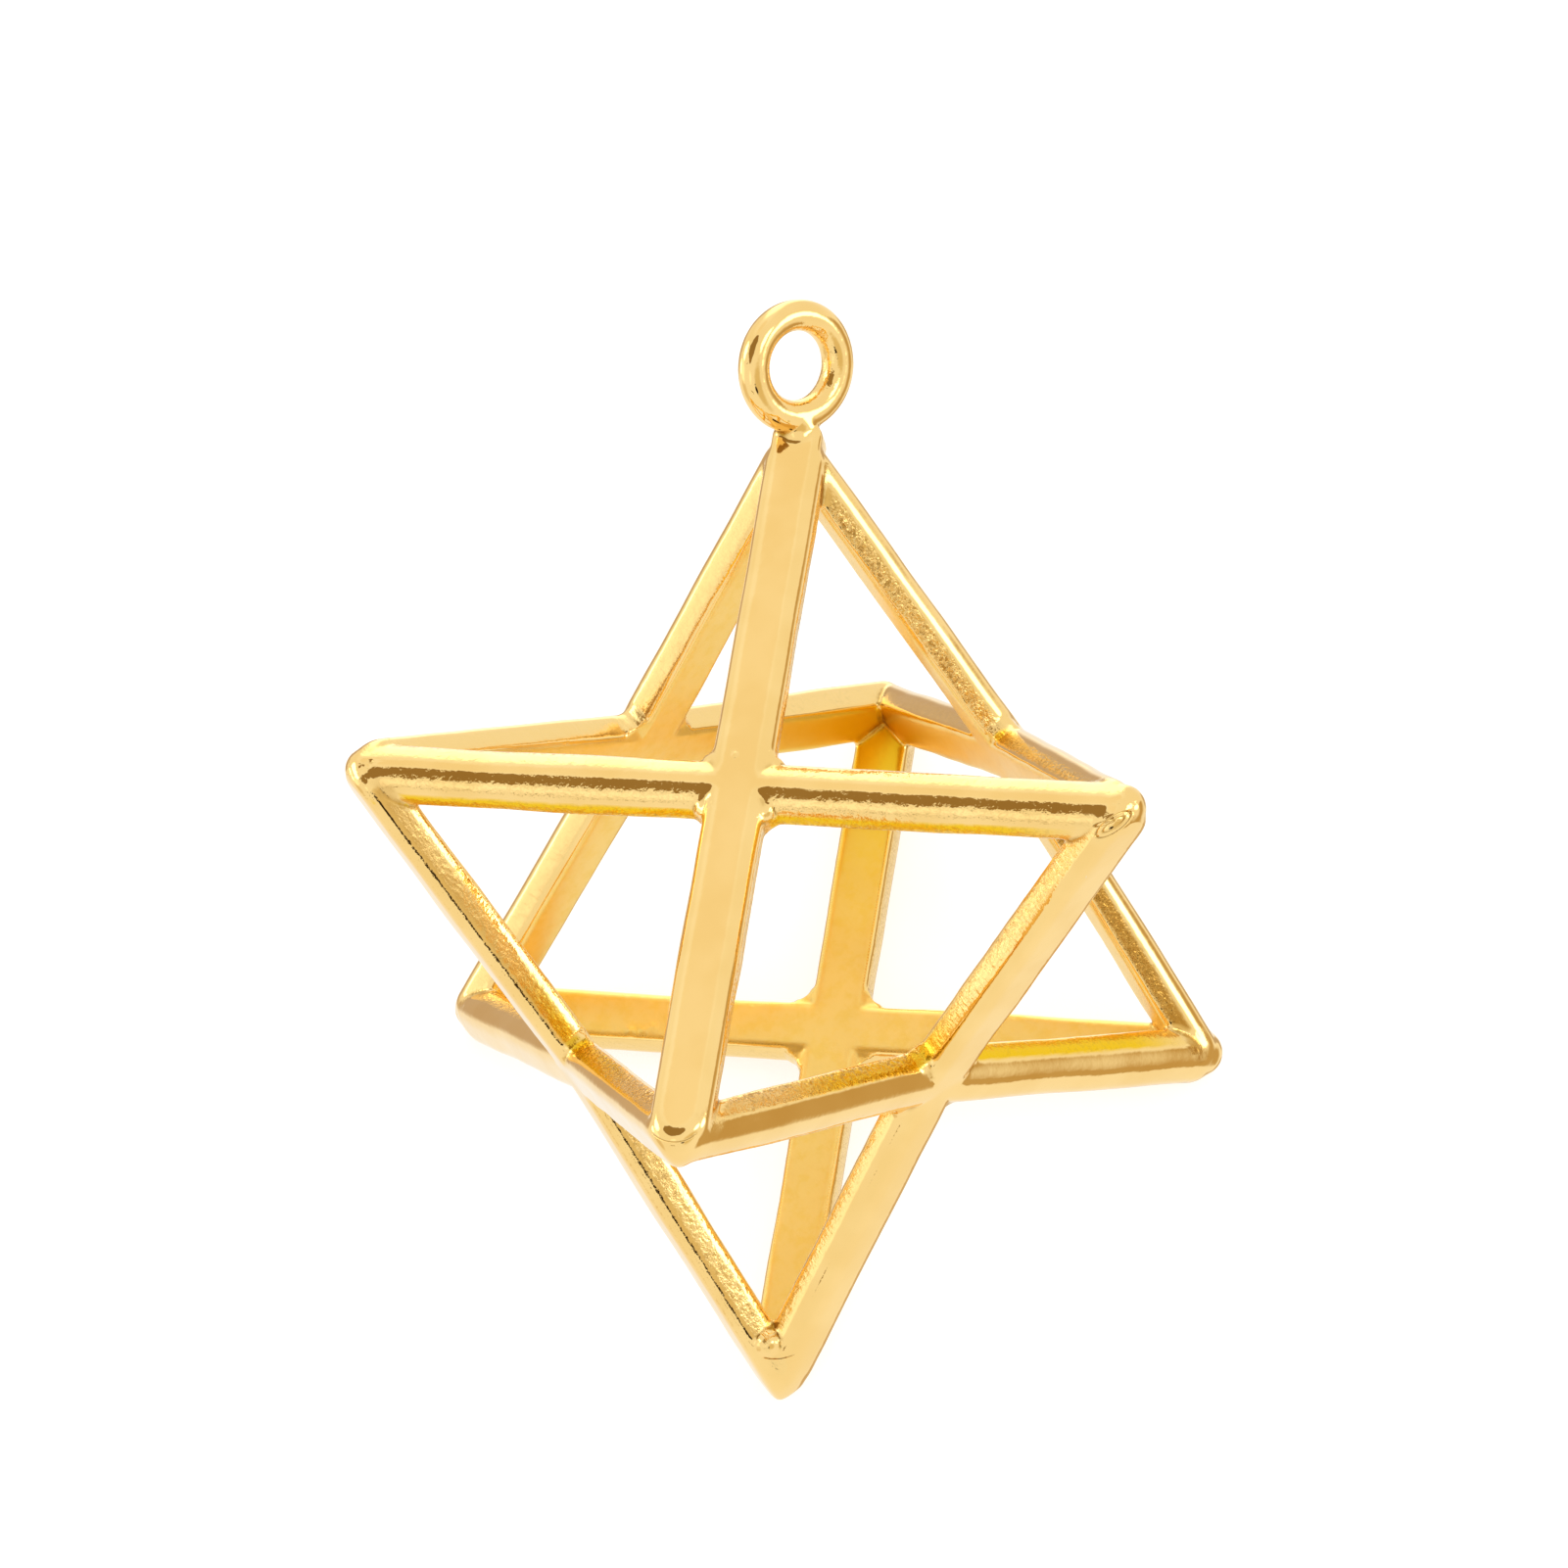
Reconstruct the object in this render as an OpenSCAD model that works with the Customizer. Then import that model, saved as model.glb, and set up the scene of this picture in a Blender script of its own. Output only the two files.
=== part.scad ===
// Star pendant cast in one piece: two open-work tetrahedra that share one centre,
// with a closed wire loop soldered to the top point.
//
// The star's eight points are the corners of a cube, and its twelve bars are the
// diagonals of that cube's faces, so each face carries one cross of two bars.
// The star rests on one face of the cube: z = 0 is the surface it lies on, and
// the origin is the middle of that face. The top point is the corner at +x +y +z.

/* [Star] */
// Edge of the cube that the star's eight points are the corners of
cube_edge = 14.5; // [13:0.5:24]
// Width of a bar across its outer face
bar_w = 1.6; // [1.2:0.05:1.8]
// Width of a bar across its inner face
bar_inner_w = 1.4; // [1:0.05:1.6]
// Thickness of a bar from its outer to its inner face
bar_d = 1; // [0.8:0.05:1.2]
// Rounding of a bar's two outer edges
edge_r = 0.45; // [0.3:0.05:0.55]
// Rounding of the window corners where two bars cross
web_r = 0.25; // [0.1:0.05:0.5]
// Radius of the bead that blunts each point
bead_r = 0.5; // [0.3:0.05:0.7]

/* [Warp of the casting] */
// How far the crossing on the -y face has sunk inwards
sag_front = 0.7; // [0:0.05:0.9]
// How far the crossing on the +y face has sunk inwards
sag_back = 0.15; // [0:0.05:0.9]
// How far the crossing on the -x face has sunk inwards
sag_left = 0.35; // [0:0.05:0.9]
// How far the crossing on the +x face stands proud
bulge_right = 0.3; // [0:0.05:0.9]

/* [Loop] */
// Thickness of the loop's wire
wire_d = 0.8; // [0.6:0.05:1]
// Clear width of the loop's eye
eye_d = 1.75; // [1.25:0.05:3]
// Turn of the loop about the line from the star's centre through the top point
loop_turn = 41; // [0:1:90]
// Lean of the loop in its own plane
loop_lean = 6; // [0:1:12]
// Radius of the ball of solder that the loop is sunk in
solder_r = 0.65; // [0.6:0.05:0.8]

/* [Hidden] */
$fn = 48;
gold = [0.95, 0.76, 0.33];

half_edge = cube_edge / 2;
half_w = bar_w / 2;
flat_half = half_w - edge_r;
centre = [0, 0, half_edge];
// Space left between a bar's round end and the cube faces beside it
end_gap = 0.04;
// Distance from the crossing to the middle of a bar's round end
reach = (half_edge - half_w - end_gap) * sqrt(2);
// Angle from the z axis to the cube's body diagonal, which the loop stands on
diagonal_tilt = acos(1 / sqrt(3));
point_distance = half_edge * sqrt(3);
loop_r = (eye_d + wire_d) / 2;

// A quarter disc that rounds one outer edge of a bar
module edge_quarter() {
    intersection() {
        circle(r = edge_r);
        square(edge_r);
    }
}

// Right half of a bar's section: x across the bar, y = 0 at the outer face
module half_section() {
    polygon([[0, -bar_d], [bar_inner_w / 2, -bar_d], [half_w, -edge_r], [0, -edge_r]]);
    translate([0, -edge_r]) square([flat_half, edge_r]);
    translate([flat_half, -edge_r]) edge_quarter();
}

module section() {
    half_section();
    mirror([1, 0]) half_section();
}

// Half a bar along +x, from the crossing out to its round end in a point.
// The crossing lies sag below the cube's face, and the point lies on it.
module half_bar(sag) {
    slope = atan(sag / reach);
    length = reach / cos(slope);
    translate([0, 0, -sag]) rotate([0, -slope, 0]) {
        translate([-flat_half, 0, 0])
            rotate([90, 0, 90]) linear_extrude(length + flat_half) section();
        translate([length, 0, 0]) rotate_extrude() half_section();
    }
}

// Rounded web in one of the four corners between two bars laid along x and y
module web(sag) {
    overlap = web_r / 2;
    far_corner = half_w + web_r;
    translate([0, 0, -sag - bar_d]) linear_extrude(bar_d - edge_r) difference() {
        translate([half_w - overlap, half_w - overlap]) square(web_r + overlap);
        translate([far_corner, far_corner]) circle(r = web_r);
    }
}

// Cross of two bars on one face of the cube, with the face at z = 0
module face_cross(sag = 0) {
    for (turn = [45:90:315]) rotate(turn) {
        half_bar(sag);
        web(sag);
    }
}

// Turns what is drawn on the cube's upper face to another face
module on_face(turn) {
    translate(centre) rotate(turn) translate([0, 0, half_edge]) children();
}

module beads() {
    inset = half_edge - bead_r;
    for (x = [-1, 1], y = [-1, 1], z = [-1, 1])
        translate(centre + inset * [x, y, z]) sphere(r = bead_r);
}

module star() {
    on_face([0, 0, 0]) face_cross();
    on_face([180, 0, 0]) face_cross();
    on_face([90, 0, 0]) face_cross(sag_front);
    on_face([-90, 0, 0]) face_cross(sag_back);
    on_face([0, -90, 0]) face_cross(sag_left);
    on_face([0, 90, 0]) face_cross(-bulge_right);
    beads();
}

// Loop and solder on the top point: the middle of the wire passes through the corner
module loop() {
    translate(centre) rotate([0, diagonal_tilt, 45]) translate([0, 0, point_distance]) {
        rotate([0, -loop_lean, -loop_turn]) translate([0, 0, loop_r])
            rotate([90, 0, 0]) rotate_extrude() translate([loop_r, 0]) circle(d = wire_d);
        translate([0, 0, -solder_r / 2]) sphere(r = solder_r);
    }
}

module star_with_loop() {
    color(gold) union() {
        star();
        loop();
    }
}

star_with_loop();
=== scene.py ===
# Star pendant cast in one piece and gold plated, with a wire loop soldered to its top point.
# Lengths are millimetres in the part's own frame until the mesh is finished and made metres.
from math import acos, atan, cos, radians, sin, sqrt

import bpy
import numpy as np
from mathutils import Euler, Matrix, Vector


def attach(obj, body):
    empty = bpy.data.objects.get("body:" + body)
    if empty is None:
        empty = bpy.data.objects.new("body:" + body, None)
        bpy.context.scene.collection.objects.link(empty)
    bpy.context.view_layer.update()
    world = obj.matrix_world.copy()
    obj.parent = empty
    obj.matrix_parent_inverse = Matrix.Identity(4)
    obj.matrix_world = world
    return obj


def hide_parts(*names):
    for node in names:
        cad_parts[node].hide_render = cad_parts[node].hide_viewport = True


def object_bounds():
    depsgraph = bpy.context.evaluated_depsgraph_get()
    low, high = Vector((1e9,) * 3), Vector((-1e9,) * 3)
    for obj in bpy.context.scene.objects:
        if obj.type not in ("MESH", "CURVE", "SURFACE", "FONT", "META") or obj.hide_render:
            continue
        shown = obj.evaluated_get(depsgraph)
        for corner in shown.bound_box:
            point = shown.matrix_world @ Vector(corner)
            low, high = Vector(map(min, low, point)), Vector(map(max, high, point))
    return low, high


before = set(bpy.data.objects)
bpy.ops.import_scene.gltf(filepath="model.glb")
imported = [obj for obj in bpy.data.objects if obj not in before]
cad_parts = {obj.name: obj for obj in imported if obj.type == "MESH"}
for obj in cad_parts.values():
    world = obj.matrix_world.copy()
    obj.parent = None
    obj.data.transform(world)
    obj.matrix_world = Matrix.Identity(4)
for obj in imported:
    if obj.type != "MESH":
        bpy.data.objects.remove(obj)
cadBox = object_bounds()
print("frame loaded")

millimetre = 0.001  # in metres
metre = 1000  # in millimetres
near = 0.01  # two places that are closer than this count as one when edges are picked
tiny = 1e-9  # keeps a division from failing


# helpers
def deselectAll():
    if bpy.context.object and bpy.context.object.mode != "OBJECT":
        bpy.ops.object.mode_set(mode="OBJECT")
    bpy.ops.object.select_all(action="DESELECT")


def pick(piece):
    deselectAll()
    piece.select_set(True)
    bpy.context.view_layer.objects.active = piece


def applyPlace(piece):
    pick(piece)
    bpy.ops.object.transform_apply(location=True, rotation=True, scale=True)


def clearSelection(mesh):
    for parts in (mesh.polygons, mesh.edges, mesh.vertices):
        parts.foreach_set("select", [False] * len(parts))


def editEdges(piece, wanted):  # opens edit mode with the wanted edges selected
    pick(piece)
    clearSelection(piece.data)
    for edge in piece.data.edges:
        edge.select = wanted(*(piece.data.vertices[i].co for i in edge.vertices))
    bpy.context.tool_settings.mesh_select_mode = (False, True, False)
    bpy.ops.object.mode_set(mode="EDIT")


def editFaces(piece, wanted):  # opens edit mode with the wanted faces selected
    pick(piece)
    clearSelection(piece.data)
    for face in piece.data.polygons:
        face.select = wanted(face)
    bpy.context.tool_settings.mesh_select_mode = (False, False, True)
    bpy.ops.object.mode_set(mode="EDIT")


def addBlock(name, low, high):
    deselectAll()
    low, high = Vector(low), Vector(high)
    bpy.ops.mesh.primitive_cube_add(size=1, location=(low + high) / 2, scale=high - low)
    block = bpy.context.object
    block.name = name
    applyPlace(block)
    return block


def addBall(radius, place):
    deselectAll()
    bpy.ops.mesh.primitive_ico_sphere_add(subdivisions=4, radius=radius, location=place)
    ball = bpy.context.object
    applyPlace(ball)
    return ball


def placeCopy(model, place):
    copy = model.copy()
    copy.data = model.data.copy()
    bpy.context.scene.collection.objects.link(copy)
    copy.matrix_world = place
    applyPlace(copy)
    return copy


def addModifier(piece, name, kind, **values):
    pick(piece)
    modifier = piece.modifiers.new(name, kind)
    for key, value in values.items():
        setattr(modifier, key, value)
    bpy.ops.object.modifier_apply(modifier=name)


def smoothStep(low, high, value):  # 0 at low, 1 at high; low may be the larger one
    t = np.clip((value - low) / (high - low), 0, 1)
    return t * t * (3 - 2 * t)


# star
star = {
    "cubeEdge": 14.5,  # between neighbouring points
    "barWidth": 1.6,
    "barInnerWidth": 1.4,
    "barDepth": 1.0,
    "endGap": 0.04,  # from a bar's round end to the cube faces beside it
    "endFlat": 0.02,  # half width of the flat left in the middle of the round end
    "barStart": -0.35,  # a half bar reaches this far past the crossing
    "innerChamfer": 0.16,
    # finishes of a half bar: rounding of its outer edges, angle round them where the unpolished
    # side begins, depth where that side ends, and how ragged its highlights are
    "finishes": {
        "flat": (0.42, 82, 0.86, 0),
        "soft": (0.58, 82, 0.86, 0),
        "worn": (0.7, 60, 0.86, 0),
        "crown": (0.76, 64, 0.86, 1),
        "bevelled": (0.4, 84, 0.72, 0.6),
    },
    "bevelStart": 0.74,  # a bevelled bar narrows below this depth, to this inner width
    "bevelInnerWidth": 1.26,
    "bevelChamfer": 0.04,
    # fillets in the window corners where two bars cross: radii, depth of their upper and lower
    # side below the outer face, and rounding of the upper edge
    "filletRadii": {"tight": 0.2, "wide": 0.34},
    "filletTop": 0.16,
    "filletBottom": 0.9,
    "filletRound": 0.25,
    # each face of the cube: its turn, the sag of its crossing, its fillets and its four half bars,
    # and for each of these its finish, how pitted its sides are, how far from the crossing their sides
    # carry painted deep-gold shade, and how much painted shade darkens their sides
    "faces": {
        "top": (
            (0, 0, 0), 0.0, "tight",
            (("flat", 0.3, 0, 0), ("crown", 0.4, 11, 0), ("flat", 0.3, 0, 0), ("crown", 0.4, 9, 0)),
        ),
        "bottom": (
            (180, 0, 0), 0.0, "wide",
            (("soft", 0.1, 0, 0), ("flat", 0.1, 0, 0), ("soft", 0.1, 0, 0), ("flat", 0.1, 0, 0)),
        ),
        "front": (
            (90, 0, 0), 0.7, "tight",
            (("flat", 0.4, 3, 0), ("worn", 0.8, 6.5, 0.3), ("soft", 0.35, 0, 0), ("worn", 0.3, 9, 0)),
        ),
        "back": (
            (-90, 0, 0), 0.15, "wide",
            (("flat", 0.1, 0, 0), ("flat", 0, 0, 0), ("flat", 0, 0, 0), ("flat", 0.1, 0, 0)),
        ),
        "left": (
            (0, -90, 0), 0.35, "tight",
            (
                ("bevelled", 0.1, 4, 0.4), ("soft", 0.3, 0, 0),
                ("bevelled", 0.8, 1.5, 0), ("flat", 0.8, 6, 0),
            ),
        ),
        "right": (
            (0, 90, 0), -0.3, "tight",
            (("soft", 0.1, 0, 0), ("soft", 1, 1, 0.25), ("soft", 0.6, 3, 0), ("soft", 1, 1, 1)),
        ),
    },
    # balls that round the points: corner of the cube, radius, shift of the ball from the corner
    "pointBalls": (
        ((1, 1, 1), 0.5, (-0.1, -0.1, -0.1)),
        ((-1, 1, 1), 0.56, (0, 0.05, 0)),
        ((-1, 1, 1), 0.7, (0.03, 0, 0)),
        ((1, -1, 1), 0.56, (0.12, 0, 0)),
        ((1, -1, 1), 0.7, (0, 0, 0)),
        ((-1, -1, 1), 0.62, (0, 0, 0)),
        ((1, 1, -1), 0.45, (0, 0, 0)),
        ((-1, 1, -1), 0.6, (0, 0.2, 0)),
        ((-1, 1, -1), 0.7, (0, 0.06, 0)),
        ((1, -1, -1), 0.6, (0.1, 0, 0)),
        ((1, -1, -1), 0.74, (0.06, 0, 0)),
        ((-1, -1, -1), 0.5, (0, 0, 0)),
        ((-1, -1, -1), 0.7, (0, 0, 0)),
    ),
    "lowTip": {"size": 0.92, "edgeRound": 0.2},  # rounded block that fills the lowest point
    # bulge in the window's corner above the lowest point
    "lowLump": {"place": (-6.64, -6.47, 1.74), "radius": 0.36},
    # blocks that square off two of the top half bars, below the loop and at the front
    "endBlockHalfWidth": 0.64,
    "endBlockDepth": 0.85,
    "endBlocks": (
        {"halfBar": 0, "start": 8.6, "end": 10.2, "cornerRound": 0.42, "topRound": 0.2},
        {"halfBar": 2, "start": 8.6, "end": 9.66, "cornerRound": 0.4, "topRound": 0.42},
    ),
}
halfEdge = star["cubeEdge"] / 2
halfWidth = star["barWidth"] / 2
barReach = (halfEdge - halfWidth - star["endGap"]) * sqrt(2)
centre = Vector((0, 0, halfEdge))


def faceMatrix(turn):  # from a face of the cube, laid flat at z = 0, to its place
    turned = Euler([radians(a) for a in turn], "XYZ").to_matrix().to_4x4()
    return Matrix.Translation(centre) @ turned @ Matrix.Translation((0, 0, halfEdge))


def halfBarMatrix(turn, sag, number):  # number 0 to 3 counts the half bars round the crossing
    slope = atan(sag / barReach)
    return (
        faceMatrix(turn)
        @ Matrix.Rotation(radians(45 + 90 * number), 4, "Z")
        @ Matrix.Translation((0, 0, -sag))
        @ Matrix.Rotation(-slope, 4, "Y")
        @ Matrix.Scale(1 / cos(slope), 4, (1, 0, 0))
    )


def editEndCorners(block, end):  # the upright edges at the far end
    editEdges(block, lambda a, b: min(a.x, b.x) > end - near and abs(a.z - b.z) > near)


def editTopEdges(block, start):  # the edges of the outer face, but not the one at the start
    editEdges(block, lambda a, b: min(a.z, b.z) > -near and max(a.x, b.x) > start + near)


def facesInwards(face):  # the inner face, which looks down while a bar lies flat
    return face.normal.z < -0.9


def modelHalfBar(finish):  # along +x from the crossing, outer face at z = 0
    start, end, depth = star["barStart"], barReach + halfWidth, star["barDepth"]
    bar = addBlock(finish + "Half", (start, -halfWidth, -depth), (end, halfWidth, 0))
    editEndCorners(bar, end)
    bpy.ops.mesh.bevel(offset=halfWidth - star["endFlat"], segments=10, affect="EDGES")
    editFaces(bar, facesInwards)
    narrow = star["barInnerWidth"] / star["barWidth"]
    bpy.ops.transform.resize(value=(1, narrow, 1), center_override=(0, 0, -depth))
    chamfer = star["innerChamfer"]
    if finish == "bevelled":
        chamfer = star["bevelChamfer"]
        editFaces(bar, lambda face: True)
        bpy.ops.mesh.bisect(plane_co=(0, 0, -star["bevelStart"]), plane_no=(0, 0, 1))
        editFaces(bar, facesInwards)
        narrow = star["bevelInnerWidth"] / star["barInnerWidth"]
        bpy.ops.transform.resize(value=(1, narrow, 1), center_override=(0, 0, -depth))
    editTopEdges(bar, start)
    edgeRound = star["finishes"][finish][0]
    bpy.ops.mesh.bevel(offset=edgeRound, segments=8, affect="EDGES")
    editEdges(bar, lambda a, b: max(a.z, b.z) < near - depth and max(a.x, b.x) > start + near)
    bpy.ops.mesh.bevel(offset=chamfer, segments=2, affect="EDGES")
    bpy.ops.object.mode_set(mode="OBJECT")
    return bar


def modelWeb(radius):  # plate with hollowed corners, which rounds the four corners at a crossing
    far, top = halfWidth + radius, -star["filletTop"]
    web = addBlock("web", (-far, -far, -star["filletBottom"]), (far, far, top))
    cutterLength = 4 * star["barDepth"]
    for x, y in ((far, far), (-far, far), (-far, -far), (far, -far)):
        deselectAll()
        bpy.ops.mesh.primitive_cylinder_add(
            vertices=32, radius=radius, depth=cutterLength, location=(x, y, 0)
        )
        cutter = bpy.context.object
        addModifier(web, "hollow", "BOOLEAN", object=cutter, operation="DIFFERENCE", solver="EXACT")
        bpy.data.objects.remove(cutter)
    editEdges(web, lambda a, b: min(a.z, b.z) > top - near)
    bpy.ops.mesh.bevel(offset=star["filletRound"], segments=4, affect="EDGES", clamp_overlap=False)
    bpy.ops.object.mode_set(mode="OBJECT")
    return web


def modelEndBlock(start, end, cornerRound, topRound):
    halfAcross, depth = star["endBlockHalfWidth"], star["endBlockDepth"]
    block = addBlock("end", (start, -halfAcross, -depth), (end, halfAcross, 0))
    editEndCorners(block, end)
    bpy.ops.mesh.bevel(offset=cornerRound, segments=8, affect="EDGES")
    editTopEdges(block, start)
    bpy.ops.mesh.bevel(offset=topRound, segments=5, affect="EDGES")
    bpy.ops.object.mode_set(mode="OBJECT")
    return block


def modelLowTip(size, edgeRound):
    corner = centre - Vector((halfEdge, halfEdge, halfEdge))
    tip = addBlock("lowTip", corner, corner + Vector((size, size, size)))
    editEdges(tip, lambda a, b: True)
    bpy.ops.mesh.bevel(offset=edgeRound, segments=6, affect="EDGES")
    bpy.ops.object.mode_set(mode="OBJECT")
    return tip


halfBars = {finish: modelHalfBar(finish) for finish in star["finishes"]}
webs = {size: modelWeb(radius) for size, radius in star["filletRadii"].items()}
castParts, barMatrices, barKinds = [], [], []
for turn, sag, fillet, halves in star["faces"].values():
    for number, half in enumerate(halves):
        place = halfBarMatrix(turn, sag, number)
        barMatrices.append(place)
        barKinds.append(half)
        castParts.append(placeCopy(halfBars[half[0]], place))
    crossing = Matrix.Translation((0, 0, -sag)) @ Matrix.Rotation(radians(45), 4, "Z")
    castParts.append(placeCopy(webs[fillet], faceMatrix(turn) @ crossing))
for corner, radius, shift in star["pointBalls"]:
    place = centre + (halfEdge - radius) * Vector(corner) + Vector(shift)
    castParts.append(addBall(radius, place))
castParts.append(addBall(**star["lowLump"]))
castParts.append(modelLowTip(**star["lowTip"]))
for block in star["endBlocks"]:
    end = modelEndBlock(block["start"], block["end"], block["cornerRound"], block["topRound"])
    castParts.append(placeCopy(end, halfBarMatrix((0, 0, 0), 0, block["halfBar"])))
    bpy.data.objects.remove(end)
for model in (*halfBars.values(), *webs.values()):
    bpy.data.objects.remove(model)
print("star modelled:", len(castParts), "parts")

# loop and solder
loop = {
    "wire": 0.8,
    "eye": 1.75,
    "turn": 41,  # about the line from the star's centre through the top point
    "lean": 6,  # in the loop's own plane
    # beads of solder, in the frame of the top point: place and radius
    "solder": (
        ((0, 0, -0.47), 0.44),
        ((0.03, -0.03, -0.2), 0.44),
        ((-0.144, 0, -0.204), 0.27),
    ),
}
tipTurn = Euler((0, acos(1 / sqrt(3)), radians(45)), "XYZ").to_matrix().to_4x4()
topPoint = Matrix.Translation(centre) @ tipTurn @ Matrix.Translation((0, 0, halfEdge * sqrt(3)))
loopRadius = (loop["eye"] + loop["wire"]) / 2
deselectAll()
bpy.ops.mesh.primitive_torus_add(
    major_radius=loopRadius, minor_radius=loop["wire"] / 2, major_segments=96, minor_segments=32
)
ring = bpy.context.object
ring.matrix_world = loopMatrix = (
    topPoint
    @ Euler((0, -radians(loop["lean"]), -radians(loop["turn"])), "XYZ").to_matrix().to_4x4()
    @ Matrix.Translation((0, 0, loopRadius))
    @ Matrix.Rotation(radians(90), 4, "X")
)
applyPlace(ring)
castParts.append(ring)
for place, radius in loop["solder"]:
    castParts.append(addBall(radius, topPoint @ Vector(place)))
print("loop modelled")

# fused casting
casting = {
    "voxel": 0.06,
    "softenSteps": 6,
    # points that were melted rounder than the rest: place, full within and gone beyond
    "melted": (
        ((-7.25, -7.25, 0), 1.55, 2.05),
        ((-7.0, -7.0, 14.3), 0.6, 1.3),
    ),
    "meltSteps": 40,
    "wobbleSize": 2.6,  # slow waviness of the cast bars
    "wobble": 0.07,
    "lumpSize": 0.3,  # lumps on the unpolished sides
    "lump": 0.012,
    "triangles": 190000,
    "boxMargin": 0.001,  # the surface stays this far inside the box of the solid
    # dents and bumps: place, radius, push
    "dabs": (
        ((-6.57, 6.53, 14.475), 0.11, (0, 0, -0.06)),
        ((0.4, 0.58, 14.5), 0.12, (0, 0, 0.03)),
        ((-0.1, 0.3, 14.5), 0.4, (0, 0, -0.015)),
        ((-4.05, 3.42, 1.0), 0.17, (0, 0, 0.03)),
        ((-3.8, 3.2, 1.0), 0.14, (0, 0, 0.028)),
        ((-3.56, 3.12, 1.0), 0.2, (0, 0, 0.022)),
    ),
    "creviceShade": (0.3, 2.0),  # hollowness where the painted shade of a crevice begins and is full
    "creviceSpread": 2,  # how many times it spreads to the neighbours
    "farPointShade": (10, 1.5),  # painted shade, deep gold on the inner faces inside the far point: gone beyond, full within
}
# where the finishes of a bar and of the loop begin and are full
fades = {
    "flankFacing": (0.6, 0.8),  # share of the normal that points across the bar
    "flankTop": (0.03, -0.03),  # height over the start of the unpolished side
    "flankBottom": (-0.04, 0.04),  # height over its end
    "flankEnd": (-0.1, 0.5),  # along the bar, from the middle of its round end
    "innerFacing": (0.75, 0.93),  # share of the normal that points inwards
    "crownFacing": (0.995, 0.97),  # share of the normal that points outwards
    "smoothEnd": (-1.4, -0.5),  # along the bar: no pits or ragged highlights past here
    "lowerSide": (-0.55, -0.75),  # height where the pitting grows to its full share
    "upperPitting": 0.6,  # its share above that
    "deepShadeFade": 2.5,  # length over which the painted deep-gold shade fades
    "offLoop": (0.35, 0.1),  # distance from the loop's wire
    "insideEye": (-0.1, -0.3),  # distance from the middle of the wire, inwards
    "eyeRaggedness": 0.8,
}


def readVertices(piece, key):  # places with the key co, normals with the key normal
    values = np.empty(len(piece.data.vertices) * 3)
    piece.data.vertices.foreach_get(key, values)
    return values.reshape(-1, 3)


def writePoints(piece, points):
    piece.data.vertices.foreach_set("co", points.ravel())
    piece.data.update()


def nearness(points, place, beyond, within=0):  # 1 within a distance of a place, 0 beyond another
    return smoothStep(beyond, within, np.linalg.norm(points - np.array(place), axis=1))


def addGroup(piece, name, weights, levels=10):
    group = piece.vertex_groups.new(name=name)
    for level in range(1, levels + 1):
        chosen = np.nonzero(np.round(weights * levels) == level)[0]
        if len(chosen):
            group.add(chosen.tolist(), level / levels, "REPLACE")


def displace(piece, name, size, strength, **values):  # moves the surface by a cloudy noise
    texture = bpy.data.textures.new(name, "CLOUDS")
    texture.noise_scale = size
    texture.noise_depth = 1
    addModifier(
        piece, name, "DISPLACE", texture=texture, strength=strength, mid_level=0.5,
        texture_coords="LOCAL", **values,
    )


def barMasks(piece):  # shares of cast side, inner face, ragged crown, pitting, painted deep-gold shade and painted side shade
    points, normals = readVertices(piece, "co"), readVertices(piece, "normal")
    nearest = np.full(len(points), np.inf)
    side, inner, crown, pitted, deep, worn = (np.zeros(len(points)) for mask in range(6))
    for place, (finish, pitting, deepShadeReach, sideShade) in zip(barMatrices, barKinds):
        edgeRound, sideAngle, sideEnd, raggedness = star["finishes"][finish]
        sideStart = edgeRound * (1 - cos(radians(sideAngle)))
        turned = np.array(place.to_3x3().normalized())
        along, across, height = ((points - np.array(place.translation)) @ turned).T
        facing = normals @ turned
        beside = np.abs(across) - halfWidth
        beyond = np.maximum(along - barReach - halfWidth, star["barStart"] - along)
        gap = np.abs(np.maximum.reduce([beside, beyond, height, -star["barDepth"] - height]))
        here = gap < nearest  # a point takes the finish of the bar whose surface is nearest
        nearest[here] = gap[here]
        flank = smoothStep(*fades["flankFacing"], np.abs(facing[:, 1]))
        flank *= smoothStep(*fades["flankTop"], height + sideStart)
        flank *= smoothStep(*fades["flankBottom"], height + sideEnd)
        flank *= 1 - smoothStep(*(barReach + past for past in fades["flankEnd"]), along)
        side[here] = flank[here]
        inner[here] = smoothStep(*fades["innerFacing"], -facing[here, 2])
        smoothed = smoothStep(*(barReach + past for past in fades["smoothEnd"]), along[here])
        if finish != "crown":
            raggedness = raggedness * (1 - smoothed)
        crown[here] = raggedness * smoothStep(*fades["crownFacing"], facing[here, 2])
        least = fades["upperPitting"]
        share = least + (1 - least) * smoothStep(*fades["lowerSide"], height[here])
        pitted[here] = pitting * share * (1 - smoothed)
        # painted shade that darkens the sides of this half bar
        worn[here] = sideShade
        # painted shade: deep gold on the sides near the crossing
        fade = smoothStep(deepShadeReach, deepShadeReach - fades["deepShadeFade"], along[here])
        deep[here] = fade * (deepShadeReach > 0)
    x, y, height = ((points - np.array(loopMatrix.translation)) @ np.array(loopMatrix.to_3x3())).T
    fromWire = np.hypot(x, y) - loopRadius
    offLoop = 1 - smoothStep(*fades["offLoop"], np.hypot(fromWire, height) - loop["wire"] / 2)
    insideEye = smoothStep(*fades["insideEye"], fromWire)
    crown = crown * offLoop + fades["eyeRaggedness"] * insideEye * (1 - offLoop)
    side *= offLoop
    return side, inner * offLoop, crown, pitted * side, deep * side, worn * side


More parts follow.
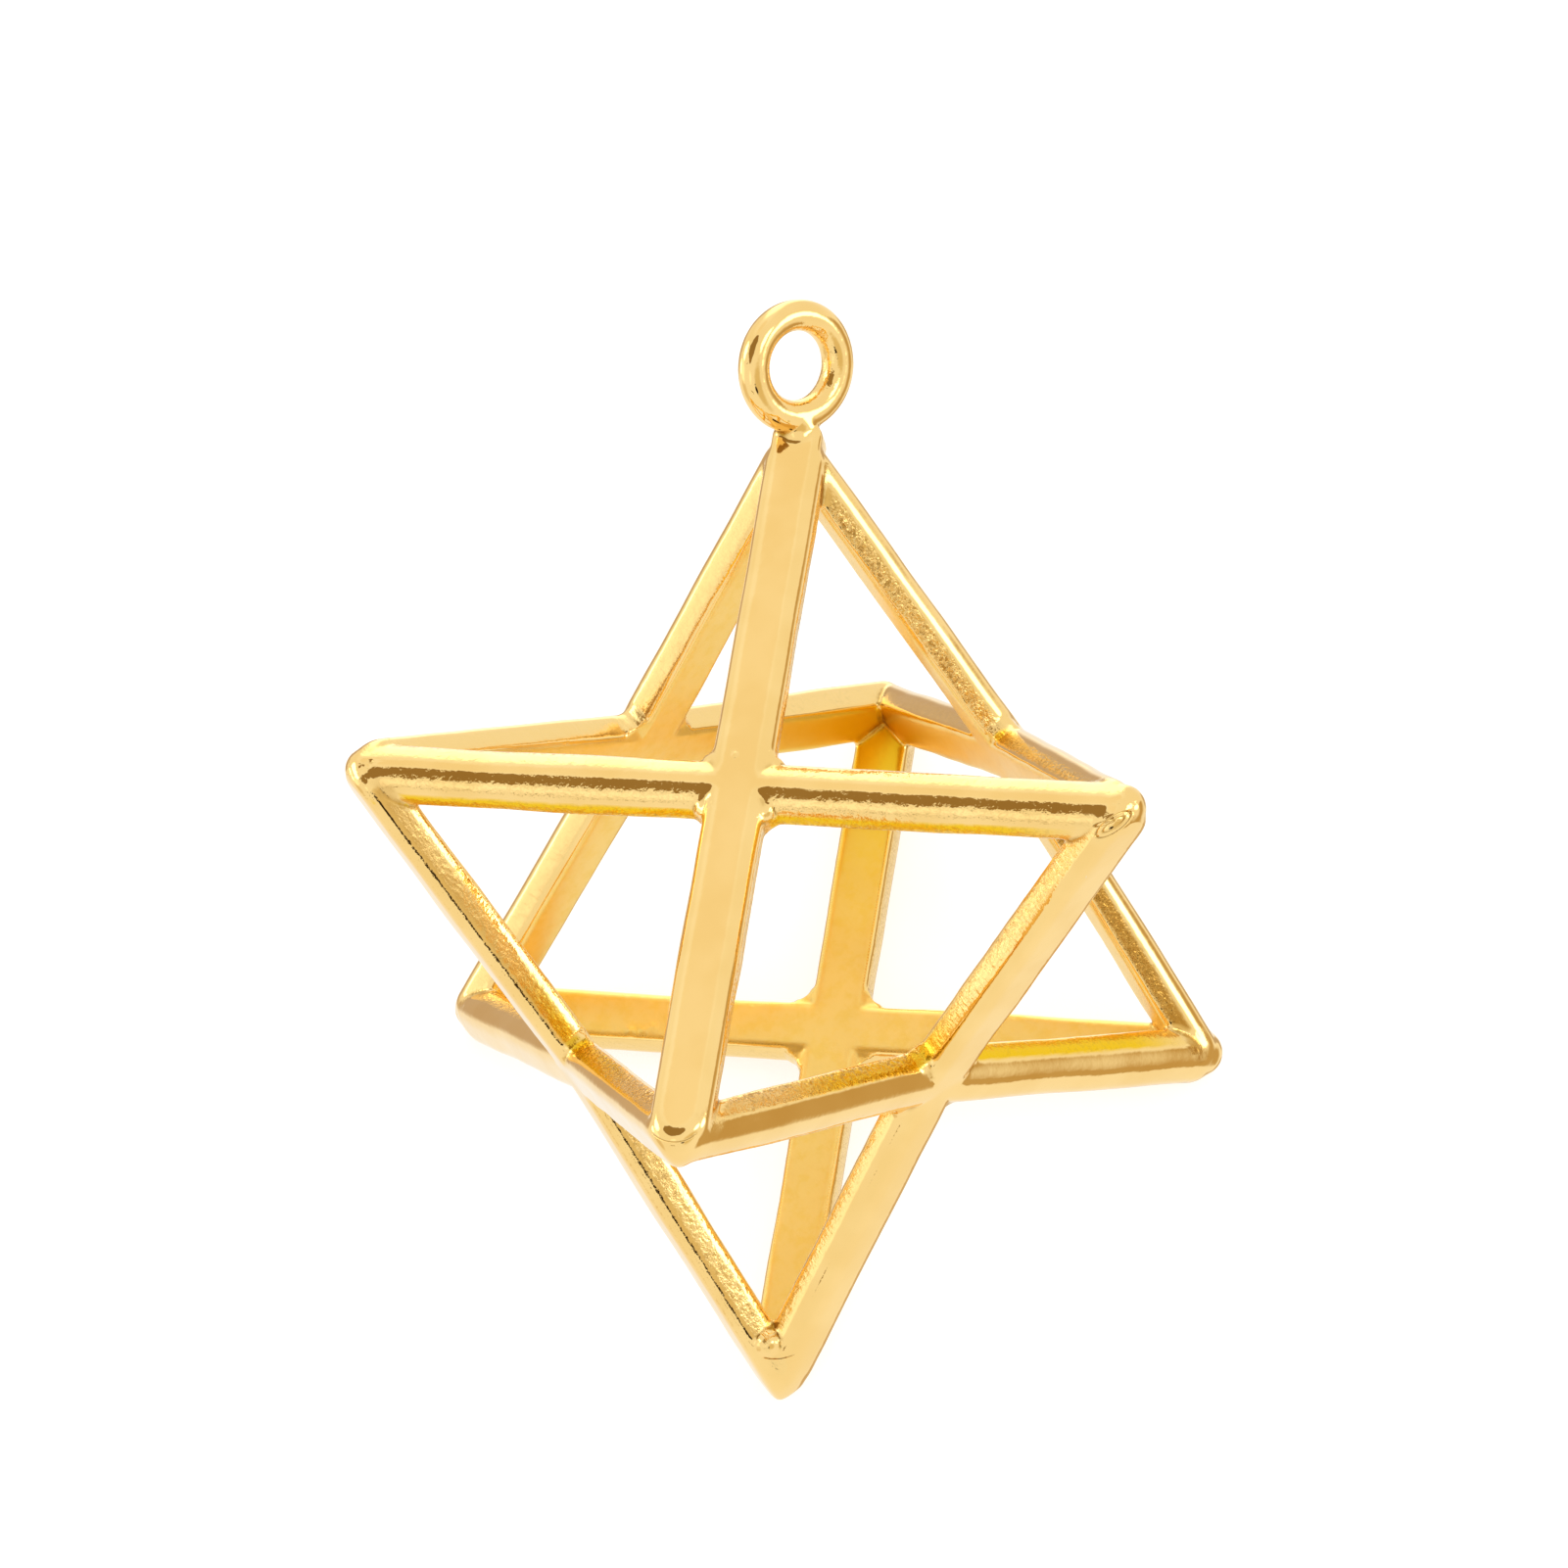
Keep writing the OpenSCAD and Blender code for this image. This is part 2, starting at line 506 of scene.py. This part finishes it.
deselectAll()
for part in castParts:
    part.select_set(True)
bpy.context.view_layer.objects.active = castParts[0]
bpy.ops.object.join()
pendant = bpy.context.object
pendant.name = pendant.data.name = "goldPendant"
addModifier(pendant, "fuse", "REMESH", mode="VOXEL", voxel_size=casting["voxel"], use_smooth_shade=True)
addModifier(pendant, "soften", "SMOOTH", factor=0.5, iterations=casting["softenSteps"])
points = readVertices(pendant, "co")
melt = np.zeros(len(points))
for place, within, beyond in casting["melted"]:
    melt = np.maximum(melt, nearness(points, place, beyond, within))
addGroup(pendant, "meltedPoints", melt)
addModifier(
    pendant, "melt", "SMOOTH", factor=0.5, iterations=casting["meltSteps"], vertex_group="meltedPoints"
)
print("fused:", len(pendant.data.polygons), "faces")

displace(pendant, "castWobble", casting["wobbleSize"], casting["wobble"])
addGroup(pendant, "castSides", barMasks(pendant)[0])
displace(pendant, "castLumps", casting["lumpSize"], casting["lump"], vertex_group="castSides")
points = readVertices(pendant, "co")
for place, radius, push in casting["dabs"]:
    points += nearness(points, place, radius)[:, None] * np.array(push)
low, high = (np.array(corner) * metre for corner in cadBox)
points = np.clip(points, low + casting["boxMargin"], high - casting["boxMargin"])
points[:, 2] = np.maximum(points[:, 2], 0)
writePoints(pendant, points)
ratio = casting["triangles"] / (2 * len(pendant.data.polygons))
if ratio < 1:
    addModifier(pendant, "thin", "DECIMATE", ratio=ratio)
print("thinned:", len(pendant.data.polygons), "faces")
pendant.vertex_groups.clear()


def markVertices(piece, name, values):
    attribute = piece.data.attributes.new(name, "FLOAT", "POINT")
    attribute.data.foreach_set("value", values.astype(np.float32))


def hollowness(piece):  # how far each point lies below its neighbours
    points, normals = readVertices(piece, "co"), readVertices(piece, "normal")
    ends = np.empty(len(piece.data.edges) * 2, dtype=np.int64)
    piece.data.edges.foreach_get("vertices", ends)
    a, b = ends.reshape(-1, 2).T
    away = points[b] - points[a]
    length = np.linalg.norm(away, axis=1) + tiny
    total, count = np.zeros(len(points)), np.zeros(len(points))
    np.add.at(total, a, (away * normals[a]).sum(1) / length**2)
    np.add.at(total, b, -(away * normals[b]).sum(1) / length**2)
    np.add.at(count, a, 1)
    np.add.at(count, b, 1)
    bend = total / np.maximum(count, 1)
    for step in range(casting["creviceSpread"]):
        spread, count = bend.copy(), np.ones(len(points))
        np.add.at(spread, a, bend[b])
        np.add.at(spread, b, bend[a])
        np.add.at(count, a, 1)
        np.add.at(count, b, 1)
        bend = spread / count
    return bend


side, inner, crown, pitted, deep, worn = barMasks(pendant)
# painted shade where the surface lies hollow
creviceShade = smoothStep(*casting["creviceShade"], hollowness(pendant))
# painted shade: deep gold on the inner faces inside the far point
farPoint = (halfEdge, halfEdge, 0)
glow = nearness(readVertices(pendant, "co"), farPoint, *casting["farPointShade"]) * inner
markVertices(pendant, "castSide", side)
markVertices(pendant, "innerFace", inner)
markVertices(pendant, "creviceShade", creviceShade)
markVertices(pendant, "raggedCrown", crown)
markVertices(pendant, "pitting", pitted)
# painted shade on the sides of some half bars
markVertices(pendant, "sideShade", worn)
# painted shade in deep gold near the crossings and inside the far point
markVertices(pendant, "deepGoldShade", np.maximum(deep, glow))
pendant.scale = (millimetre, millimetre, millimetre)
applyPlace(pendant)
bpy.ops.object.shade_smooth()
print("surface marked")

# gold
goldFinish = {
    # colours
    "polished": (0.985, 0.7, 0.285),
    "polishedDark": (0.95, 0.655, 0.245),
    "inner": (1.0, 0.71, 0.22),
    # deep: painted shade, the deeper orange of gold in recesses near the crossings and inside the far
    # point; the random mottle uses it too
    "deep": (0.92, 0.575, 0.015),
    # worn: painted shade, a darker brown on the sides of some half bars
    "worn": (0.6, 0.33, 0.07),
    "side": (0.96, 0.68, 0.27),
    # pit colour: painted shade in the pits
    "pitShade": (0.42, 0.23, 0.04),
    # painted shade in crevices and along the creases
    "creviceShade": (0.46, 0.24, 0.03),
    "polishedRoughness": 0.045,
    "innerRoughness": 0.32,
    "sideRoughness": 0.22,
    "pittedRoughness": 0.13,
    # noises: waves per metre, detail and roughness
    "noises": {
        "tint": (600, 2, 0.5),
        "mottle": (2600, 4, 0.65),
        "pits": (8500, 3, 0.6),
        "pitPatches": (900, 1, 0.5),
        "ripple": (4200, 2, 0.5),
        "ragged": (4600, 3, 0.55),
        "grain": (26000, 2, 0.5),
        "hammer": (5200, 2, 0.6),
        "hatch": (14000, 1, 0.5),
    },
    # patches of a noise: values where they begin and are full
    "patches": {
        "tint": (0.35, 0.65),
        "mottle": (0.42, 0.68),
        "pits": (0.5, 0.6),
        "pitPatches": (0.36, 0.5),
    },
    # heights of the relief, in metres
    "ripple": 4e-6,
    "ragged": 2.6e-5,
    "grain": 3e-6,
    "hammer": 8e-5,
    "pitDepth": 1.6e-5,
    "hatch": 1.1e-5,
    "crease": 6e-5,
    # how strongly the painted shade of pits and creases, and the mottling, colour the metal
    "pitShadeShare": 0.75,
    "mottleShare": 0.28,
    "creaseShadeShare": 0.85,
    "innerGrain": 0.5,  # grain on the inner faces against the sides'
    "hatchTurn": (30, 20, 15),
    "hatchStretch": (1, 0.22, 0.6),
    # creases round the points, small grooves in the bump whose dark line is painted shade, which are
    # ellipses: centre, turn, half axes, and whether only the lower half shows
    "creases": (
        ((6.3, -7.08, 14.28), 35, (0.5, 0.18), False),
        ((6.3, -7.08, 14.28), 35, (0.32, 0.09), False),
        ((6.12, -7.0, 14.45), 15, (0.25, 0.05), False),
        ((-6.65, -6.6, 14.5), 0, (0.6, 0.42), True),
        ((-6.57, -6.75, 1.54), 6, (0.45, 0.15), True),
    ),
    # the plane that they lie in, square to the photo's line of sight: its two axes and its normal
    "creasePlane": ((0.794, -0.58, -0.18), (0.59, 0.666, 0.456), (-0.1445, -0.4685, 0.8716)),
    "creaseReach": 2.0,  # along the normal
    "creaseWidth": 0.03,
    "creaseLower": (-0.45, -0.7),  # share of the second half axis where a lower half shows
}
gold = bpy.data.materials.new("polishedGold")
gold.use_nodes = True
nodes, links = gold.node_tree.nodes, gold.node_tree.links
shader = nodes["Principled BSDF"]
shader.inputs["Metallic"].default_value = 1


# node helpers, which build in the tree that nodes and links belong to
def feed(socket, value):
    if isinstance(value, (int, float)):
        socket.default_value = value
    elif isinstance(value, tuple):
        socket.default_value = (*value, 1)
    else:
        links.new(value, socket)


def readAttribute(name):
    node = nodes.new("ShaderNodeAttribute")
    node.attribute_name = name
    return node.outputs["Fac"]


def mixColours(factor, a, b):
    node = nodes.new("ShaderNodeMix")
    node.data_type = "RGBA"
    for key, value in (("Factor", factor), ("A", a), ("B", b)):
        feed(node.inputs[key], value)
    return node.outputs["Result"]


def mixValues(factor, a, b):
    node = nodes.new("ShaderNodeMix")
    for key, value in (("Factor", factor), ("A", a), ("B", b)):
        feed(node.inputs[key], value)
    return node.outputs["Result"]


def noise(name, place=None):
    node = nodes.new("ShaderNodeTexNoise")
    links.new(place or objectPlace, node.inputs["Vector"])
    for key, value in zip(("Scale", "Detail", "Roughness"), goldFinish["noises"][name]):
        feed(node.inputs[key], value)
    return node.outputs["Fac"]


def calculate(kind, a, b=0):
    node = nodes.new("ShaderNodeMath")
    node.operation = kind
    for socket, value in zip(node.inputs, (a, b)):
        feed(socket, value)
    return node.outputs["Value"]


def bump(height, distance, strength, normal=None):
    node = nodes.new("ShaderNodeBump")
    feed(node.inputs["Distance"], distance)
    feed(node.inputs["Strength"], strength)
    feed(node.inputs["Height"], height)
    if normal:
        links.new(normal, node.inputs["Normal"])
    return node.outputs["Normal"]


def ramp(value, low, high):
    node = nodes.new("ShaderNodeMapRange")
    node.interpolation_type = "SMOOTHSTEP"
    for key, source in (("From Min", low), ("From Max", high), ("Value", value)):
        feed(node.inputs[key], source)
    return node.outputs["Result"]


def patches(name):
    return ramp(noise(name), *goldFinish["patches"][name])


def ringCrease(middle, turn, halfAxes, onlyLower):  # 1 on the ellipse, 0 away from it
    plane = Matrix(goldFinish["creasePlane"]).transposed()
    place = nodes.new("ShaderNodeMapping")
    place.vector_type = "TEXTURE"
    place.inputs["Location"].default_value = Vector(middle) * millimetre
    place.inputs["Rotation"].default_value = (plane @ Matrix.Rotation(radians(turn), 3, "Z")).to_euler()
    reaches = (*halfAxes, goldFinish["creaseReach"])
    place.inputs["Scale"].default_value = [reach * millimetre for reach in reaches]
    links.new(objectPlace, place.inputs["Vector"])
    length = nodes.new("ShaderNodeVectorMath")
    length.operation = "LENGTH"
    links.new(place.outputs["Vector"], length.inputs[0])
    off = calculate("ABSOLUTE", calculate("SUBTRACT", length.outputs["Value"], 1))
    onRing = ramp(off, goldFinish["creaseWidth"] / sqrt(halfAxes[0] * halfAxes[1]), 0)
    if onlyLower:
        split = nodes.new("ShaderNodeSeparateXYZ")
        links.new(place.outputs["Vector"], split.inputs[0])
        onRing = calculate("MULTIPLY", onRing, ramp(split.outputs["Y"], *goldFinish["creaseLower"]))
    return onRing


objectPlace = nodes.new("ShaderNodeTexCoord").outputs["Object"]
sideMask, innerMask, creviceShadeMask, crownMask, pitMask, deepShadeMask, sideShadeMask = (
    readAttribute(name)
    for name in ("castSide", "innerFace", "creviceShade", "raggedCrown", "pitting", "deepGoldShade", "sideShade")
)
creases = 0
for crease in goldFinish["creases"]:
    creases = calculate("MAXIMUM", creases, ringCrease(*crease))
pits = calculate("MULTIPLY", patches("pits"), patches("pitPatches"))
pits = calculate("MULTIPLY", pits, pitMask)
mottle = calculate("MULTIPLY", patches("mottle"), innerMask)
# painted shade: dark lines along the creases and in the crevices
creaseAndCreviceShade = calculate("MULTIPLY", creases, goldFinish["creaseShadeShare"])
creaseAndCreviceShade = calculate("MAXIMUM", creviceShadeMask, creaseAndCreviceShade)

colour = mixColours(patches("tint"), goldFinish["polished"], goldFinish["polishedDark"])
colour = mixColours(innerMask, colour, goldFinish["inner"])
colour = mixColours(sideMask, colour, goldFinish["side"])
# painted shade: deep gold near the crossings and inside the far point
colour = mixColours(deepShadeMask, colour, goldFinish["deep"])
# painted shade: darker brown on the sides of some half bars
colour = mixColours(sideShadeMask, colour, goldFinish["worn"])
# painted shade in the pits, whose relief is in the bump
pitShadeAmount = calculate("MULTIPLY", pits, goldFinish["pitShadeShare"])
colour = mixColours(pitShadeAmount, colour, goldFinish["pitShade"])
mottleColour = calculate("MULTIPLY", mottle, goldFinish["mottleShare"])
colour = mixColours(mottleColour, colour, goldFinish["deep"])
# painted shade in the creases and crevices
colour = mixColours(creaseAndCreviceShade, colour, goldFinish["creviceShade"])
links.new(colour, shader.inputs["Base Color"])

rough = mixValues(innerMask, goldFinish["polishedRoughness"], goldFinish["innerRoughness"])
rough = mixValues(sideMask, rough, goldFinish["sideRoughness"])
rough = mixValues(pitMask, rough, goldFinish["pittedRoughness"])
links.new(rough, shader.inputs["Roughness"])

grainMask = calculate("MULTIPLY", innerMask, goldFinish["innerGrain"])
grainMask = calculate("MAXIMUM", grainMask, sideMask)
hatched = nodes.new("ShaderNodeMapping")
hatched.inputs["Rotation"].default_value = [radians(a) for a in goldFinish["hatchTurn"]]
hatched.inputs["Scale"].default_value = goldFinish["hatchStretch"]
links.new(objectPlace, hatched.inputs["Vector"])
surface = bump(noise("ripple"), goldFinish["ripple"], 1)
surface = bump(noise("ragged"), goldFinish["ragged"], crownMask, surface)
surface = bump(noise("grain"), goldFinish["grain"], grainMask, surface)
surface = bump(noise("hammer"), goldFinish["hammer"], pitMask, surface)
surface = bump(calculate("SUBTRACT", 1, pits), goldFinish["pitDepth"], pitMask, surface)
surface = bump(noise("hatch", hatched.outputs["Vector"]), goldFinish["hatch"], sideMask, surface)
surface = bump(calculate("SUBTRACT", 1, creases), goldFinish["crease"], 1, surface)
links.new(surface, shader.inputs["Normal"])
pendant.data.materials.clear()
pendant.data.materials.append(gold)
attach(pendant, "root")
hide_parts("star_with_loop")
print("gold made")

# table
tableFinish = {
    "size": 1.2,  # metres
    "colour": (0.5, 0.5, 0.5),
    "roughness": 0.8,
    "glow": 0.7,  # keeps it as pale as the photo's background
}
deselectAll()
bpy.ops.mesh.primitive_plane_add(size=tableFinish["size"], location=(0, 0, 0))
table = bpy.context.object
table.name = "table"
white = bpy.data.materials.new("whiteTable")
white.use_nodes = True
tableShader = white.node_tree.nodes["Principled BSDF"]
tableShader.inputs["Base Color"].default_value = (*tableFinish["colour"], 1)
tableShader.inputs["Roughness"].default_value = tableFinish["roughness"]
tableShader.inputs["Emission Color"].default_value = (1, 1, 1, 1)
tableShader.inputs["Emission Strength"].default_value = tableFinish["glow"]
table.data.materials.append(white)
table.visible_glossy = False  # the gold mirrors the studio below it instead
print("table laid")

# light
studio = {
    "tent": (0.98, 0.97, 0.93),
    # Each layer covers the ones before it. Angles are degrees, azimuths from +Y towards +X.
    # stripe: azimuth and elevation of its normal, offset along it, half width; or None for a disc
    # patch: azimuth and elevation of the middle, full within and gone beyond these angles
    "layers": (
        (None, (0, -90, 60, 95), (1.0, 0.99, 0.97)),
        (None, (20, 48, 12, 30), (1.03, 1.05, 1.08)),
        (None, (18, 62, 6, 14), (0.98, 0.935, 0.84)),
        (None, (-176, 24, 12, 27), (0.77, 0.66, 0.43)),
        (None, (-76, -12, 8, 20), (0.82, 0.72, 0.56)),
        ((120, 0, 0, 13), (30, 2, 22, 46), (1.95, 1.95, 1.9)),
        (None, (8, -27, 10, 21), (0.6, 0.48, 0.38)),
        (None, (-18, -26, 8, 19), (0.6, 0.48, 0.38)),
        ((8, -44, 0, 16), (129, -27, 27, 34), (0.58, 0.42, 0.21)),
        (None, (76, -44, 6, 15), (0.6, 0.48, 0.36)),
        (None, (104, -71, 8, 13), (0.66, 0.5, 0.3)),
        (None, (160, -37, 6, 11), (0.58, 0.42, 0.21)),
        (None, (45, -70, 4, 13), (0.7, 0.56, 0.36)),
        (None, (131, 14, 8, 17), (3.4, 3.4, 3.3)),
        (None, (-48, 0, 4, 9), (3.0, 3.0, 2.9)),
        (None, (-61, 9, 8, 17), (1.35, 1.3, 1.25)),
        (None, (-42, 28, 8, 15), (3.2, 3.2, 3.1)),
        (None, (146, 44, 6, 12), (3.2, 3.2, 3.1)),
        (None, (-118, 37, 5, 11), (1.25, 1.22, 1.2)),
        (None, (-75, 72, 19, 20.5), (0.33, 0.22, 0.09)),
        ((0, 90, 16, 1.2), (-121, 16, 5, 8), (0.35, 0.24, 0.1)),
        (None, (-153, 25, 5, 8), (0.04, 0.025, 0.01)),
    ),
    "stripeFade": (1.5, 0.3),  # a stripe is gone beyond and full within these shares of its half width
}
world = bpy.data.worlds.new("studio")
bpy.context.scene.world = world
world.use_nodes = True
nodes, links = world.node_tree.nodes, world.node_tree.links  # the node helpers now build here
background = nodes["Background"]
coordinates = nodes.new("ShaderNodeTexCoord")
colour = studio["tent"]


def towards(azimuth, elevation):  # cosine of the angle from a direction
    a, e = radians(azimuth), radians(elevation)
    facing = nodes.new("ShaderNodeVectorMath")
    facing.operation = "DOT_PRODUCT"
    facing.inputs[1].default_value = (sin(a) * cos(e), cos(a) * cos(e), sin(e))
    links.new(coordinates.outputs["Generated"], facing.inputs[0])
    return facing.outputs["Value"]


for stripe, (azimuth, elevation, within, beyond), layerColour in studio["layers"]:
    seen = ramp(towards(azimuth, elevation), cos(radians(beyond)), cos(radians(within)))
    if stripe:
        sideways, upwards, offset, halfAngle = stripe
        away = calculate("SUBTRACT", towards(sideways, upwards), sin(radians(offset)))
        away = calculate("ABSOLUTE", away)
        band = ramp(away, *(sin(radians(halfAngle)) * share for share in studio["stripeFade"]))
        seen = calculate("MULTIPLY", seen, band)
    colour = mixColours(seen, colour, layerColour)
links.new(colour, background.inputs["Color"])
print("studio lit:", len(studio["layers"]), "layers")

# camera
view = {
    "position": (-35.64, -115.53, 222.18),
    "aim": (1.838, 2.269, 8.775),
    "roll": 21.12,  # degrees
    "lens": 226.0,
    "sensor": 36.0,
    "nearest": 10.0,  # nothing nearer than this is drawn
}
deselectAll()
bpy.ops.object.camera_add()
camera = bpy.context.object
camera.name = "photoCamera"
position, aim = (Vector(view[key]) * millimetre for key in ("position", "aim"))
back = (position - aim).normalized()
level = Vector((0, 0, 1)).cross(back).normalized()
upright = back.cross(level)
up = upright * cos(radians(view["roll"])) + level * sin(radians(view["roll"]))
right = up.cross(back)
camera.matrix_world = Matrix.Translation(position) @ Matrix((right, up, back)).transposed().to_4x4()
camera.data.lens = view["lens"]
camera.data.sensor_width = view["sensor"]
camera.data.clip_start = view["nearest"] * millimetre
bpy.context.scene.camera = camera
bpy.context.scene.view_settings.view_transform = "Standard"
print("camera placed")
